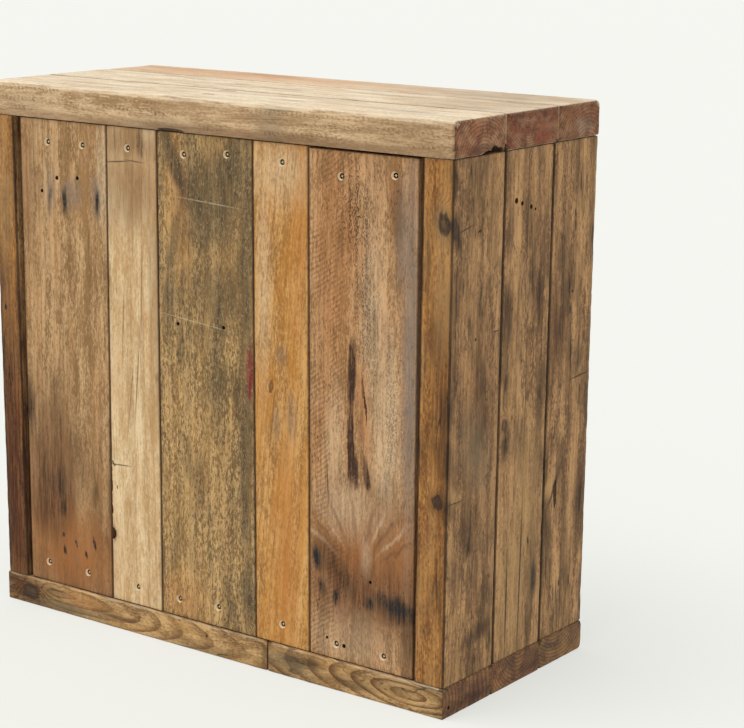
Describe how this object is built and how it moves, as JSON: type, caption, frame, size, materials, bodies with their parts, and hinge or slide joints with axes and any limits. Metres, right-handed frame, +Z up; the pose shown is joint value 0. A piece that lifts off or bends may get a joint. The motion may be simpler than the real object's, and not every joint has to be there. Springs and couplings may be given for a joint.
{
  "type": "wooden cabinet",
  "caption": "Low rustic cabinet: thick reclaimed planks for top, sides and base, thin boards screwed inside the front, open rear with battens.",
  "frame": {"origin": "on the floor, under the middle of the cabinet's bounding box", "axes": "+X to the right along the front, +Y from the boarded front to the open rear, +Z up"},
  "size_m": [0.701, 0.3, 0.675],
  "materials": {
    "bleached_plank": "dry, bleached and worn, hand rubbed",
    "weathered_plank": "dry, grey-brown weathered, waxed thinly",
    "base_plank": "dry, brown, waxed thinly",
    "brown_board": "soft brown, iron streaks around old nail holes",
    "cream_board": "pale cream to tan",
    "grey_board": "grey-green weathered blotches over golden brown",
    "honey_board": "honey gold, smooth",
    "marked_board": "pinkish tan, saw marks, dark bark inclusions",
    "batten": "sawn softwood, unfinished",
    "screw_steel": "dull zinc, dusty"
  },
  "bodies": {
    "root": {"base_cleat_screws": "screw_steel", "base_plank_front_left": "base_plank", "base_plank_front_right": "base_plank", "base_plank_middle": "base_plank", "base_plank_rear": "base_plank", "base_tie": "batten", "base_tie_screws": "screw_steel", "board_foot_screws": "screw_steel", "board_head_screws": "screw_steel", "front_base_batten": "batten", "front_base_batten_screws": "screw_steel", "front_board_1": "brown_board", "front_board_2": "cream_board", "front_board_3": "grey_board", "front_board_4": "honey_board", "front_board_5": "marked_board", "front_top_batten": "batten", "front_top_batten_screws": "screw_steel", "left_base_cleat": "batten", "left_side_plank_front": "weathered_plank", "left_side_plank_middle": "weathered_plank", "left_side_plank_rear": "weathered_plank", "left_top_cleat": "batten", "right_base_cleat": "batten", "right_side_plank_front": "weathered_plank", "right_side_plank_middle": "weathered_plank", "right_side_plank_rear": "weathered_plank", "right_top_cleat": "batten", "side_foot_screws": "screw_steel", "side_head_screws": "screw_steel", "top_cleat_screws": "screw_steel", "top_plank_front": "bleached_plank", "top_plank_middle": "bleached_plank", "top_plank_rear": "bleached_plank", "top_tie": "batten", "top_tie_screws": "screw_steel"}
  },
  "joints": []
}
